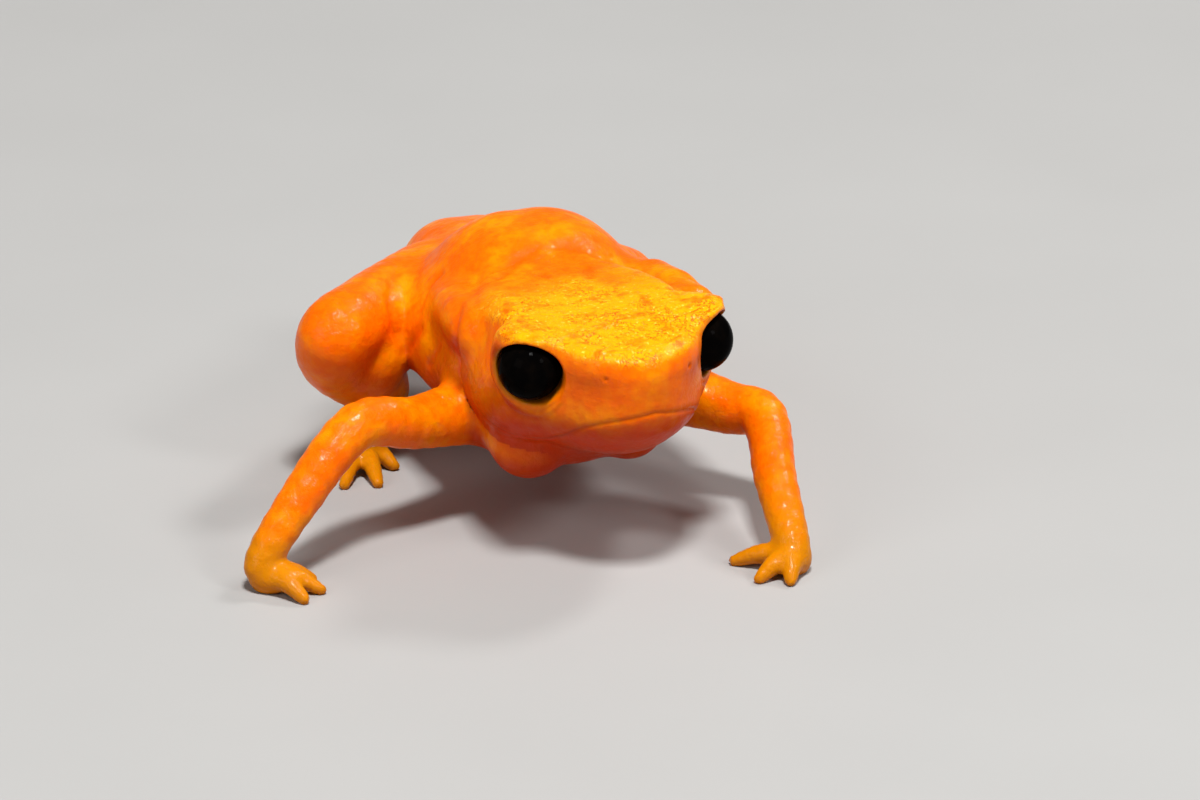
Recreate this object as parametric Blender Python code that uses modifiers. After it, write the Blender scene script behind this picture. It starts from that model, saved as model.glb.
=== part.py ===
"""Pumpkin toadlet, life size, standing in mid-step with its head turned a little to its left.

The body is modelled whole from overlapping ellipsoids and round curved limbs, remeshed into one
surface and drawn onto their smooth blend. Thin cuts then part it into head, torso and the
pieces of each leg. Sizes are millimetres, in a frame whose +X is the animal's left and whose
-Y is the way it faces. The finished pieces are moved to the centre of their own box and scaled
to metres.
"""
import math

import bmesh
import bpy
import numpy as np
from mathutils import Matrix, Vector

METRES_PER_MM = 0.001
FAR = 9.0
TINY = 1e-9

# Gap left by a cut through the flesh, and round each eye.
CUT = 0.3
EYE_GAP = 0.14

# Surface resolution: voxel edge, share of faces kept, and how points are drawn onto the forms.
VOXEL = 0.16
FACES_KEPT = 0.18
SAMPLE_STEP = 0.02
SETTLE_PASSES = 5
CULL_MARGIN = 0.8

# Faces round and up each ellipsoid, limb, eye and eye room, and round a socket.
BALL_FACES = (32, 20)
LIMB_FACES = (16, 10)
EYE_FACES = (24, 14)
ROOM_FACES = (28, 18)
SOCKET_FACES = 32

# Widths over which the forms run into one another.
NECK_BLEND = 0.55
LIMB_ROOT_BLEND = 0.45
JOINT_BLEND = 0.25
STEP_BLEND = 0.06
CHEST_BLEND = 0.5
RIDGE_BLEND = 0.5
JAW_BLEND = 0.4
CHEEK_BLEND = 0.5
LID_BLEND = 0.4
LID_EDGE = 0.1
CROWN_EDGE = 0.2

# Head frame: its origin lies midway between the eyes.
HEAD_ORIGIN = (-0.11, 2.6, 5.6)
HEAD_YAW = 4.2
EYE_SIDE = 2.48
EYE_HEIGHT = 0.04
EYE_RADIUS = 0.85
CROWN_HEIGHT = 0.93
CROWN_DISH = 0.03
CROWN_SLOPE = 0.07
CROWN_FALL = 0.02
CROWN_FALL_START = 1.0

# Opening of the lids: its direction, where it starts along that, and the droop toward the nose.
OPENING_ANGLE = 55.0
OPENING_LIFT = 0.0
LID_START = -0.08
LID_DROOP = 0.36
LID_DROOP_ANGLE = 62.0
LID_DROOP_SPREAD = 45.0
LID_LENGTH = 0.1
LID_THICKNESS = 0.19
SOCKET_FLARE = 0.3
BROW_SNUGNESS = 0.25
BROW_ANGLE = 110.0
BROW_SPREAD = 45.0
SOCKET_DEPTH = 2.4

# Line of the mouth: height below the eyes at each bearing from straight ahead, in degrees.
MOUTH_BEARINGS = (0, 30, 50, 65, 90, 108, 120, 130, 137)
MOUTH_HEIGHTS = (-0.72, -1.0, -1.3, -1.65, -2.05, -2.2, -2.1, -1.8, -1.45)
MOUTH_GROOVE_RADIUS = 0.10
MOUTH_POINTS = 45
NOSTRIL_BEARING = 31.0
NOSTRIL_HEIGHT = 0.22
NOSTRIL_RADIUS = 0.13
SURFACE_SEARCH = 6.0
SURFACE_HALVINGS = 30

# Limb joints, and the radius of the flesh at each.
CURVE_STEPS = 4
ARM_JOINTS = {
    "right": ((-2.9, 6.4, 2.95), (-4.7, 5.7, 3.12), (-6.52, 5.05, 3.52),
              (-8.25, 4.2, 2.25), (-9.68, 3.45, 0.8)),
    "left": ((2.8, 6.3, 2.8), (4.0, 4.95, 2.64), (4.6, 3.9, 2.64),
             (4.12, 1.8, 1.8), (3.86, -0.1, 0.75)),
}
ARM_RADII = (0.9, 0.7, 0.62, 0.56, 0.47)
PALMS = {"right": (-9.6, 3.3, 0.32), "left": (3.85, -0.3, 0.32)}
FINGER_TIPS = {
    "right": ((-8.4, 3.3), (-8.4, 2.5), (-9.0, 2.05)),
    "left": ((2.5, 0.6), (2.7, -0.75), (3.4, -1.2)),
}
LEG_JOINTS = {
    "right": ((-1.9, 13.2, 3.75), (-3.9, 11.3, 4.12), (-5.45, 9.85, 4.25), (-5.35, 10.3, 3.4),
              (-4.15, 11.15, 2.3), (-3.5, 11.95, 1.25), (-4.3, 11.25, 0.45)),
    "left": ((1.9, 13.4, 3.7), (3.6, 15.2, 2.8), (5.1, 16.5, 1.9), (5.15, 17.3, 1.6),
             (4.8, 18.8, 1.3), (4.3, 20.4, 0.8), (5.3, 21.7, 0.4)),
}
LEG_RADII = (1.35, 1.15, 1.05, 1.05, 0.98, 0.6, 0.42)
SOLES = {"right": (-4.5, 11.0, 0.32), "left": (5.6, 22.0, 0.32)}
TOE_TIPS = {
    "right": ((-5.6, 9.1), (-4.7, 8.9), (-3.9, 9.9)),
    "left": ((7.7, 22.0), (7.3, 23.1), (6.1, 23.4)),
}
DIGIT_RADII = (0.34, 0.26, 0.15)
DIGIT_ARCH = 0.4
DIGIT_TIP_HEIGHT = 0.12
SIDES = ("right", "left")
SIGN = {"right": -1, "left": 1}

# Cuts that part the pieces: where each lies along its limb, its normal, and how far it reaches
# up and down and to each side.
NECK_MIDDLE = (0, 5.1, 4.2)
NECK_NORMAL = (0, 1, -0.3)
NECK_REACH = (-3.8, 3.35, -3.6, 3.6)
NAPE_REACH = (3.2, 4.2, -3.6, -0.2)
SHOULDER_CUTS = {
    "right": (0.36, (-0.925, -0.352, 0.143), (-1.3, 1.3, -1.3, 1.3)),
    "left": (0.42, (0.61, -0.78, -0.06), (-1.2, 0.95, -1.2, 1.2)),
}
ELBOW_REACH = (-1.2, 1.2, -1.0, 1.0)
WRIST_CUT_SHARE = 0.8
WRIST_REACH = (-0.9, 0.9, -0.9, 0.9)
HIP_CUTS = {
    "right": (0.342, (-0.97, 0.236, -0.257), (-2.1, 2.4, -3.0, 3.0)),
    "left": (0.42, (0.666, 0.645, -0.375), (-1.75, 1.75, -1.75, 1.75)),
}
KNEE_CUTS = {
    "right": ((-5.4, 10.2, 3.6), (0.21, 0.16, 1), (0.8, 0.6, 0), (-1.6, 5.6, -2.0, 3.0)),
    "left": ((5.12, 16.9, 1.75), (0.44, 1.64, -0.65), (-0.77, 0.28, 0.19), (-1.6, 1.8, -1.6, 1.6)),
}
ANKLE_REACH = {"right": (-1.1, 1.6, -1.1, 1.1), "left": (-1.0, 1.0, -1.0, 1.0)}

GROUND_SIZE = (30.0, 40.0, 3.0)
GROUND_MIDDLE = (0.0, 13.0, -1.5)
MERGE_DISTANCE = 1e-4

# Points inside the head, in its frame, and the torso, and shares along the upper limbs. Each
# picks out its own piece after the cuts.
HEAD_SEED = (0, 0.8, -0.6)
TORSO_SEED = (0, 10.5, 4.0)
UPPER_ARM_SEED_SHARE = 0.75
THIGH_SEED_SHARE = 0.7

MATERIALS = {
    "orange_skin": ((0.93, 0.165, 0.001), 0.35),
    "black_eye": ((0.004, 0.004, 0.004), 0.08),
}

HEAD_FRAME = Matrix.Translation(HEAD_ORIGIN) @ Matrix.Rotation(math.radians(HEAD_YAW), 4, "Z")
MIRROR = Matrix.Diagonal((-1, 1, 1, 1))


def to_head(points):
    turn = np.array(HEAD_FRAME.to_3x3())
    return (points - np.array(HEAD_ORIGIN)) @ turn


def hump(value, width):
    """1 at zero, falling off smoothly over the given width on both sides."""
    return np.exp(-(value / width) ** 2)


def curve(knots, steps):
    """A smooth line through rows of knots, with the given number of steps between each two."""
    knots = np.array(knots, float)
    ends = np.vstack((2 * knots[0] - knots[1], knots, 2 * knots[-1] - knots[-2]))
    line = []
    for before, start, stop, after in zip(ends, ends[1:], ends[2:], ends[3:]):
        for share in np.linspace(0, 1, steps, endpoint=False):
            square = 2 * before - 5 * start + 4 * stop - after
            cube = 3 * start - before - 3 * stop + after
            line.append(start + ((stop - before) * share + square * share ** 2 + cube * share ** 3) / 2)
    return np.array(line + [knots[-1]])


def blend(a, b, width):
    """Union of two distances whose inner corner is rounded over the given width."""
    share = np.clip(0.5 + 0.5 * (b - a) / width, 0, 1)
    return b + (a - b) * share - width * share * (1 - share)


def trim(a, b, width):
    """Intersection of two distances whose outer edge is rounded over the given width."""
    return -blend(-a, -b, width)


def add_piece(mesh, make, matrix, **sizes):
    """Adds one closed primitive to a mesh, made apart because that stays quick as the mesh grows."""
    bm = bmesh.new()
    make(bm, matrix=matrix, **sizes)
    bmesh.ops.recalc_face_normals(bm, faces=bm.faces)
    piece = bpy.data.meshes.new("piece")
    bm.to_mesh(piece)
    bm.free()
    mesh.from_mesh(piece)
    bpy.data.meshes.remove(piece)


class Ball:
    """An ellipsoid, made boxier in plan or upright by powers above 2."""

    def __init__(self, centre, radii, plan=2.0, upright=2.0):
        self.centre = np.array(centre, float)
        self.radii = np.array(radii, float)
        self.plan = plan
        self.upright = upright

    def box(self):
        return self.centre - self.radii, self.centre + self.radii

    def distance(self, points):
        x, y, z = np.maximum(np.abs(points - self.centre) / self.radii, TINY).T
        across = x ** self.plan + y ** self.plan
        level = (across ** (self.upright / self.plan) + z ** self.upright) ** (1 / self.upright)
        steep = level ** (1 - self.upright)
        level_steep = steep * across ** (self.upright / self.plan - 1)
        slopes = (level_steep * x ** (self.plan - 1), level_steep * y ** (self.plan - 1),
                  steep * z ** (self.upright - 1))
        return (level - 1) / np.linalg.norm(np.array(slopes).T / self.radii, axis=1)

    def add_to(self, mesh, place):
        size = Matrix.Diagonal((*self.radii, 1))
        matrix = place @ Matrix.Translation(self.centre) @ size
        add_piece(mesh, bmesh.ops.create_uvsphere, matrix, u_segments=BALL_FACES[0],
                  v_segments=BALL_FACES[1], radius=1)


class Limb:
    """A round limb along a smooth curve through its joints, with a radius at each."""

    def __init__(self, joints, radii, steps=CURVE_STEPS):
        self.line = curve(np.column_stack((joints, radii)), steps)

    def box(self):
        room = self.line[:, 3:]
        return (self.line[:, :3] - room).min(axis=0), (self.line[:, :3] + room).max(axis=0)

    def distance(self, points):
        distance = np.full(len(points), FAR)
        for start, stop in zip(self.line, self.line[1:]):
            along = stop[:3] - start[:3]
            room = max(start[3], stop[3])
            low = np.minimum(start, stop)[:3] - room
            high = np.maximum(start, stop)[:3] + room

            def length(inside):
                share = np.clip((inside - start[:3]) @ along / (along @ along), 0, 1)
                radius = start[3] + (stop[3] - start[3]) * share
                return np.linalg.norm(inside - start[:3] - share[:, None] * along, axis=1) - radius
            distance = blend(distance, near(points, low, high, length), STEP_BLEND)
        return distance

    def add_to(self, mesh, place):
        for x, y, z, radius in self.line:
            matrix = place @ Matrix.Translation((x, y, z))
            add_piece(mesh, bmesh.ops.create_uvsphere, matrix, u_segments=LIMB_FACES[0],
                      v_segments=LIMB_FACES[1], radius=radius)
        for start, stop in zip(self.line, self.line[1:]):
            along = Vector(stop[:3] - start[:3])
            turn = along.to_track_quat("Z", "Y").to_matrix().to_4x4()
            middle = place @ Matrix.Translation((start[:3] + stop[:3]) / 2) @ turn
            add_piece(mesh, bmesh.ops.create_cone, middle, cap_ends=True, segments=LIMB_FACES[0],
                      radius1=start[3], radius2=stop[3], depth=along.length)


# Torso forms, each with the width over which it runs into those before it.
TRUNK = Ball((0, 9.2, 3.85), (3.55, 4.9, 2.15), 2.3, 2.3)
TORSO_FORMS = [
    (Ball((0, 6.1, 4.05), (3.25, 2.7, 2.1), 2.3, 2.3), 0.8),
    (Ball((0.12, 9.8, 4.95), (2.62, 2.6, 2.0), 2.3, 2.2), 0.7),
    (Ball((0, 13.4, 3.6), (2.25, 3.6, 1.75)), 0.8),
    (Limb(((-1.85, 4.6, 2.75), (-1.6, 6.6, 2.85)), (1.12, 1.2), 1), CHEST_BLEND),
    (Limb(((0.95, 4.6, 2.85), (1.1, 6.6, 2.85)), (1.05, 1.2), 1), CHEST_BLEND),
    (Limb(((-0.45, 4.7, 2.8), (-0.3, 6.6, 2.8)), (0.95, 1.1), 1), CHEST_BLEND),
    (Limb(((-2.9, 5.7, 5.45), (-2.75, 7.8, 5.3), (-1.9, 10.6, 4.5)), (0.72, 0.68, 0.5), 2), RIDGE_BLEND),
    (Limb(((3.0, 5.3, 5.45), (2.85, 7.8, 5.3), (1.9, 10.6, 4.5)), (0.74, 0.7, 0.5), 2), RIDGE_BLEND),
]

# Head forms in the head frame. Those of the second list are doubled by the mirror.
EYE = np.array((EYE_SIDE, 0, EYE_HEIGHT))
SKULL = Ball((0, 1.8, -0.35), (2.78, 4.3, 1.75), 1.85, 3.2)
MIDDLE_FORMS = [
    (Ball((0, 1.5, -1.15), (2.62, 3.75, 1.7), 1.8, 2.0), JAW_BLEND),
    (Ball((0, 2.3, -2.05), (1.9, 2.4, 1.1)), JAW_BLEND),
]
SIDE_FORMS = [
    (Ball((2.05, 1.8, -1.15), (1.1, 1.9, 1.35)), CHEEK_BLEND),
    (Ball(EYE + (-0.07, 0.3, 0.66), (0.82, 0.95, 0.5)), LID_BLEND),
    (Limb(((1.7, -0.6, 0.5), (1.0, -1.5, 0.4), (0, -1.8, 0.35)), (0.4, 0.4, 0.4)), LID_BLEND),
]
LID = Ball(EYE, [EYE_RADIUS + EYE_GAP + LID_THICKNESS] * 3)
HEAD_LOW = np.array(HEAD_ORIGIN) + (-3.6, -2.8, -3.4)
HEAD_HIGH = np.array(HEAD_ORIGIN) + (3.6, 6.2, 1.6)


# Flesh of the folded right leg, between thigh and shank.
CALF = Ball((-4.35, 10.85, 3.25), (1.1, 1.45, 1.3))


def digits(root, tips):
    """Pointed digits that arch from their common root down to the floor."""
    made = []
    for tip in tips:
        middle = ((root[0] + tip[0]) / 2, (root[1] + tip[1]) / 2, DIGIT_ARCH)
        made.append(Limb((root, middle, (*tip, DIGIT_TIP_HEIGHT)), DIGIT_RADII))
    return made


def arm(side):
    joints = (*ARM_JOINTS[side], PALMS[side])
    return [Limb(joints, (*ARM_RADII, DIGIT_RADII[0]))] + digits(PALMS[side], FINGER_TIPS[side])


def leg(side):
    joints = (*LEG_JOINTS[side], SOLES[side])
    return [Limb(joints, (*LEG_RADII, DIGIT_RADII[0]))] + digits(SOLES[side], TOE_TIPS[side])


LIMBS = [arm("right"), leg("right") + [CALF], arm("left"), leg("left")]


def near(points, low, high, distance):
    """The distance of points inside the box, with the cull margin. All others are simply far."""
    value = np.full(len(points), FAR)
    inside = np.all((points > low - CULL_MARGIN) & (points < high + CULL_MARGIN), axis=1)
    if inside.any():
        value[inside] = distance(points[inside])
    return value


def merge(points, first, others):
    """One distance to many forms, each run into those before it over its own width."""
    distance = first.distance(points)
    for form, width in others:
        distance = blend(distance, form.distance(points), width)
    return distance


def opening_axes():
    """The left eye opening's direction, the way across it to the nose, and the way up."""
    turn = math.radians(OPENING_ANGLE)
    out = Vector((math.cos(turn), -math.sin(turn), OPENING_LIFT)).normalized()
    nose = out.cross(Vector((0, 0, 1))).normalized()
    return np.array(out), np.array(nose), np.array(nose.cross(out))


OPENING, TO_NOSE, TO_BROW = opening_axes()


def opening_place(folded):
    """How far ahead of the eye's centre each point is, its reach from that axis, and its angle."""
    offset = folded - EYE
    nose = offset @ TO_NOSE
    brow = offset @ TO_BROW
    return offset @ OPENING, np.hypot(nose, brow), np.degrees(np.arctan2(brow, nose))


def lid_start(angle):
    """How far ahead the lid's inner edge lies at each angle from the nose, upward."""
    return LID_START + LID_DROOP * hump(angle - LID_DROOP_ANGLE, LID_DROOP_SPREAD)


def lid_rim(angle):
    """The reach of that edge from the opening's axis."""
    return np.sqrt((EYE_RADIUS + EYE_GAP) ** 2 - lid_start(angle) ** 2)


def socket_flare(angle):
    """How fast the socket widens outward at each angle: least under the brow."""
    return SOCKET_FLARE - BROW_SNUGNESS * hump(angle - BROW_ANGLE, BROW_SPREAD)


def fold(local):
    """Both halves of the head laid on its left one."""
    return np.abs(local) * (1, 0, 0) + local * (0, 1, 1)


def head_distance(points):
    local = fold(to_head(points))
    distance = merge(local, SKULL, MIDDLE_FORMS + SIDE_FORMS)
    ahead, _, angle = opening_place(local)
    beyond = ahead - lid_start(angle) - LID_LENGTH
    distance = blend(distance, trim(LID.distance(local), beyond, LID_EDGE), LID_BLEND)
    x, y, z = local.T
    fall = CROWN_FALL * np.maximum(y - CROWN_FALL_START, 0) ** 2 + CROWN_SLOPE * np.maximum(-y, 0)
    return trim(distance, z - CROWN_HEIGHT - CROWN_DISH * x ** 2 + fall, CROWN_EDGE)


def torso_distance(points):
    return merge(points, TRUNK, TORSO_FORMS)


def limb_distance(limb, points):
    boxes = [form.box() for form in limb]
    low = np.min([box[0] for box in boxes], axis=0)
    high = np.max([box[1] for box in boxes], axis=0)

    def all_forms(inside):
        distance = np.full(len(inside), FAR)
        for form, box in zip(limb, boxes):
            distance = blend(distance, near(inside, *box, form.distance), JOINT_BLEND)
        return distance
    return near(points, low, high, all_forms)


def body_distance(points):
    torso = torso_distance(points)
    distance = blend(torso, near(points, HEAD_LOW, HEAD_HIGH, head_distance), NECK_BLEND)
    for limb in LIMBS:
        distance = np.minimum(distance, blend(torso, limb_distance(limb, points), LIMB_ROOT_BLEND))
    return distance


def settle(points):
    """Draws points onto the blended surface along its slope."""
    step = np.eye(3) * SAMPLE_STEP
    for _ in range(SETTLE_PASSES):
        slope = [body_distance(points + axis) - body_distance(points - axis) for axis in step]
        slope = np.array(slope).T
        slope /= np.maximum(np.linalg.norm(slope, axis=1, keepdims=True), TINY)
        points = points - body_distance(points)[:, None] * slope
    return points


def new_object(name, mesh, collection):
    item = bpy.data.objects.new(name, mesh)
    collection.objects.link(item)
    return item


def object_from(bm, name, collection):
    mesh = bpy.data.meshes.new(name)
    bm.to_mesh(mesh)
    bm.free()
    return new_object(name, mesh, collection)


def apply_modifiers(item):
    graph = bpy.context.evaluated_depsgraph_get()
    mesh = bpy.data.meshes.new_from_object(item.evaluated_get(graph))
    item.modifiers.clear()
    item.data = mesh


def make_flesh(collection):
    bm = bmesh.new()
    body = Matrix.Identity(4)
    for form in [TRUNK] + [form for form, _ in TORSO_FORMS] + [form for limb in LIMBS for form in limb]:
        form.add_to(bm, body)
    for form in [SKULL, LID] + [form for form, _ in MIDDLE_FORMS + SIDE_FORMS]:
        form.add_to(bm, HEAD_FRAME)
        form.add_to(bm, HEAD_FRAME @ MIRROR)
    flesh = object_from(bm, "flesh", collection)
    remesh = flesh.modifiers.new("one_surface", "REMESH")
    remesh.mode = "VOXEL"
    remesh.voxel_size = VOXEL
    apply_modifiers(flesh)
    points = np.empty(len(flesh.data.vertices) * 3)
    flesh.data.vertices.foreach_get("co", points)
    points = settle(points.reshape(-1, 3))
    flesh.data.vertices.foreach_set("co", points.ravel())
    thin = flesh.modifiers.new("fewer_faces", "DECIMATE")
    thin.ratio = FACES_KEPT
    apply_modifiers(flesh)
    return flesh


def subtract(item, cutter, solver="EXACT"):
    """Cuts the cutter out of the item. Exact cuts through a thin limb lose whole pieces of it, so
    the cuts that part the body ask for the manifold solver."""
    cut = item.modifiers.new(cutter.name, "BOOLEAN")
    cut.operation = "DIFFERENCE"
    cut.solver = solver
    cut.object = cutter
    apply_modifiers(item)


def cutter_from(bm, name, collection):
    cutter = object_from(bm, name, collection)
    cutter.hide_render = True
    cutter.display_type = "WIRE"
    return cutter


def ground(collection):
    """The block under the animal, which presses a small flat on each hand and foot."""
    bm = bmesh.new()
    size = Matrix.Diagonal((*GROUND_SIZE, 1))
    bmesh.ops.create_cube(bm, size=1, matrix=Matrix.Translation(GROUND_MIDDLE) @ size)
    return cutter_from(bm, "ground", collection)


def head_place(side):
    return HEAD_FRAME @ MIRROR if side == "right" else HEAD_FRAME


def eye_room(side, collection):
    """The eye's own ball with the gap added."""
    bm = bmesh.new()
    centre = head_place(side) @ Vector(EYE)
    bmesh.ops.create_uvsphere(bm, u_segments=ROOM_FACES[0], v_segments=ROOM_FACES[1],
                              radius=EYE_RADIUS + EYE_GAP, matrix=Matrix.Translation(centre))
    return cutter_from(bm, f"eye_room_{side}", collection)


def socket(side, collection):
    """The widening cone in front of the eye, whose inner ring follows the lid's edge."""
    bm = bmesh.new()
    bmesh.ops.create_cone(bm, cap_ends=True, cap_tris=True, segments=SOCKET_FACES,
                          radius1=1, radius2=1, depth=2)
    for corner in bm.verts:
        angle = math.degrees(math.atan2(corner.co.y, corner.co.x))
        past = SOCKET_DEPTH if corner.co.z > 0 else 0
        share = corner.co.xy.length
        ahead = past + LID_START + (lid_start(angle) - LID_START) * share
        reach = share * (lid_rim(angle) + socket_flare(angle) * past)
        turn = math.radians(angle)
        across = TO_NOSE * math.cos(turn) + TO_BROW * math.sin(turn)
        corner.co = head_place(side) @ Vector(EYE + OPENING * ahead + across * reach)
    bmesh.ops.recalc_face_normals(bm, faces=bm.faces)
    return cutter_from(bm, f"socket_{side}", collection)


def surface_point(bearing, height):
    """Where a level ray from between the eyes leaves the head, at the given height and bearing."""
    turn = math.radians(bearing)
    ray = np.array((math.sin(turn), -math.cos(turn), 0))
    inner, outer = 0.0, SURFACE_SEARCH
    for _ in range(SURFACE_HALVINGS):
        middle = (inner + outer) / 2
        point = HEAD_FRAME @ Vector(ray * middle + (0, 0, height))
        inside = head_distance(np.array([point]))[0] < 0
        inner, outer = (middle, outer) if inside else (inner, middle)
    return point


def mouth_groove(collection):
    line = bpy.data.curves.new("mouth_line", "CURVE")
    line.dimensions = "3D"
    line.bevel_depth = MOUTH_GROOVE_RADIUS
    line.bevel_resolution = 1
    line.use_fill_caps = True
    spline = line.splines.new("POLY")
    spline.points.add(MOUTH_POINTS - 1)
    bearings = np.linspace(-MOUTH_BEARINGS[-1], MOUTH_BEARINGS[-1], MOUTH_POINTS)
    for point, bearing in zip(spline.points, bearings):
        height = np.interp(abs(bearing), MOUTH_BEARINGS, MOUTH_HEIGHTS)
        point.co = (*surface_point(bearing, height), 1)
    tube = new_object("mouth_tube", line, collection)
    graph = bpy.context.evaluated_depsgraph_get()
    mesh = bpy.data.meshes.new_from_object(tube.evaluated_get(graph))
    bpy.data.objects.remove(tube)
    bm = bmesh.new()
    bm.from_mesh(mesh)
    bmesh.ops.remove_doubles(bm, verts=bm.verts, dist=MERGE_DISTANCE)
    return cutter_from(bm, "mouth_groove", collection)


def nostril(side, collection):
    bm = bmesh.new()
    centre = surface_point(SIGN[side] * NOSTRIL_BEARING, NOSTRIL_HEIGHT)
    place = Matrix.Translation(centre)
    bmesh.ops.create_icosphere(bm, subdivisions=2, radius=NOSTRIL_RADIUS, matrix=place)
    return cutter_from(bm, f"nostril_{side}", collection)


def along(start, end, share):
    return Vector(start).lerp(Vector(end), share)


def direction(start, end):
    return (Vector(end) - Vector(start)).normalized()


def slab(name, centre, normal, across, reach, collection):
    """A thin plate square to normal. reach is its low and high end along across, then beside it."""
    normal = Vector(normal).normalized()
    across = Vector(across)
    across = (across - normal * across.dot(normal)).normalized()
    beside = normal.cross(across)
    low_a, high_a, low_b, high_b = reach
    middle = Vector(centre) + across * (low_a + high_a) / 2 + beside * (low_b + high_b) / 2
    turn = Matrix((across, beside, normal)).transposed().to_4x4()
    size = Matrix.Diagonal((high_a - low_a, high_b - low_b, CUT, 1))
    bm = bmesh.new()
    bmesh.ops.create_cube(bm, size=1, matrix=Matrix.Translation(middle) @ turn @ size)
    return cutter_from(bm, f"cut_{name}", collection)


def mitre(name, before, joint, after, reach, collection):
    """A plate through a bent joint. Its first reach runs from the bend's outer side to its inner."""
    inward = direction(before, joint)
    outward = direction(joint, after)
    return slab(name, joint, inward + outward, outward - inward, reach, collection)


def body_cuts(collection):
    """Cuts that part the head and each whole limb from the torso."""
    yield slab("neck", NECK_MIDDLE, NECK_NORMAL, (1, 0, 0), NECK_REACH, collection)
    yield slab("nape", NECK_MIDDLE, NECK_NORMAL, (1, 0, 0), NAPE_REACH, collection)
    for side in SIDES:
        share, normal, reach = SHOULDER_CUTS[side]
        place = along(ARM_JOINTS[side][0], ARM_JOINTS[side][2], share)
        yield slab(f"shoulder_{side}", place, normal, (0, 0, 1), reach, collection)
        share, normal, reach = HIP_CUTS[side]
        place = along(LEG_JOINTS[side][0], LEG_JOINTS[side][2], share)
        yield slab(f"hip_{side}", place, normal, (0, 0, 1), reach, collection)


def arm_cuts(side, collection):
    _, upper, elbow, forearm, wrist = ARM_JOINTS[side]
    yield mitre(f"elbow_{side}", upper, elbow, forearm, ELBOW_REACH, collection)
    place = along(forearm, wrist, WRIST_CUT_SHARE)
    yield slab(f"wrist_{side}", place, direction(forearm, wrist), (0, 0, 1), WRIST_REACH, collection)


def leg_cuts(side, collection):
    calf, ankle, instep = LEG_JOINTS[side][4:]
    yield slab(f"knee_{side}", *KNEE_CUTS[side], collection)
    yield mitre(f"ankle_{side}", calf, ankle, instep, ANKLE_REACH[side], collection)


def middle_of(*points):
    return np.mean(np.array(points), axis=0)


def body_seeds():
    """A point near the middle of the head, the torso and each whole limb."""
    seeds = {"head": HEAD_FRAME @ Vector(HEAD_SEED), "torso": TORSO_SEED}
    for side in SIDES:
        seeds[f"arm_{side}"] = ARM_JOINTS[side][3]
        seeds[f"leg_{side}"] = LEG_JOINTS[side][3]
    return seeds


def arm_seeds(side):
    shoulder, _, elbow, forearm, _ = ARM_JOINTS[side]
    return {
        f"upper_arm_{side}": along(shoulder, elbow, UPPER_ARM_SEED_SHARE),
        f"forearm_{side}": forearm,
        f"hand_{side}": middle_of(PALMS[side], (*FINGER_TIPS[side][1], 0)),
    }


def leg_seeds(side):
    hip, _, knee, _, calf, ankle, _ = LEG_JOINTS[side]
    return {
        f"thigh_{side}": along(hip, knee, THIGH_SEED_SHARE),
        f"shank_{side}": calf,
        f"foot_{side}": middle_of(ankle, SOLES[side], (*TOE_TIPS[side][1], 0)),
    }


def closed_surfaces(bm):
    """Groups the mesh's faces into its separate closed surfaces."""
    waiting = set(bm.faces)
    while waiting:
        surface = {waiting.pop()}
        front = list(surface)
        while front:
            face = front.pop()
            touching = {other for edge in face.edges for other in edge.link_faces} & waiting
            waiting -= touching
            surface |= touching
            front.extend(touching)
        yield surface


def part(item, seeds, collection):
    """Splits a cut item into one object for each seed, its nearest surface, and drops the rest."""
    bm = bmesh.new()
    bm.from_mesh(item.data)
    surfaces = []
    for surface in closed_surfaces(bm):
        corners = {corner for face in surface for corner in face.verts}
        centre = np.mean([corner.co for corner in corners], axis=0)
        surfaces.append(({face.index for face in surface}, centre))
    bpy.data.objects.remove(item)
    pieces = {}
    for name, seed in seeds.items():
        wanted = min(surfaces, key=lambda found: np.linalg.norm(found[1] - np.array(seed)))[0]
        piece = bm.copy()
        others = [face for face in piece.faces if face.index not in wanted]
        bmesh.ops.delete(piece, geom=others, context="FACES")
        pieces[name] = object_from(piece, name, collection)
    bm.free()
    return pieces


def make_eye(side, collection):
    bm = bmesh.new()
    centre = head_place(side) @ Vector(EYE)
    bmesh.ops.create_uvsphere(bm, u_segments=EYE_FACES[0], v_segments=EYE_FACES[1], radius=EYE_RADIUS,
                              matrix=Matrix.Translation(centre))
    return object_from(bm, f"eye_{side}", collection)


def make_material(name):
    colour, roughness = MATERIALS[name]
    material = bpy.data.materials.new(name)
    material.use_nodes = True
    shader = material.node_tree.nodes["Principled BSDF"]
    shader.inputs["Base Color"].default_value = (*colour, 1)
    shader.inputs["Roughness"].default_value = roughness
    shader.inputs["Metallic"].default_value = 0.0
    return material


def finish(nodes, eyes):
    """Colours the pieces, centres the whole on its own box and turns millimetres to metres."""
    skin = make_material("orange_skin")
    black = make_material("black_eye")
    corners = [corner.co for item in nodes + eyes for corner in item.data.vertices]
    low = np.min(corners, axis=0)
    high = np.max(corners, axis=0)
    centre = Vector((-(low[0] + high[0]) / 2, -(low[1] + high[1]) / 2, -low[2]))
    to_metres = Matrix.Scale(METRES_PER_MM, 4) @ Matrix.Translation(centre)
    for item in nodes + eyes:
        item.data.transform(to_metres)
        item.data.materials.clear()
        item.data.materials.append(black if item in eyes else skin)
        item.data.shade_smooth()


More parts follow.
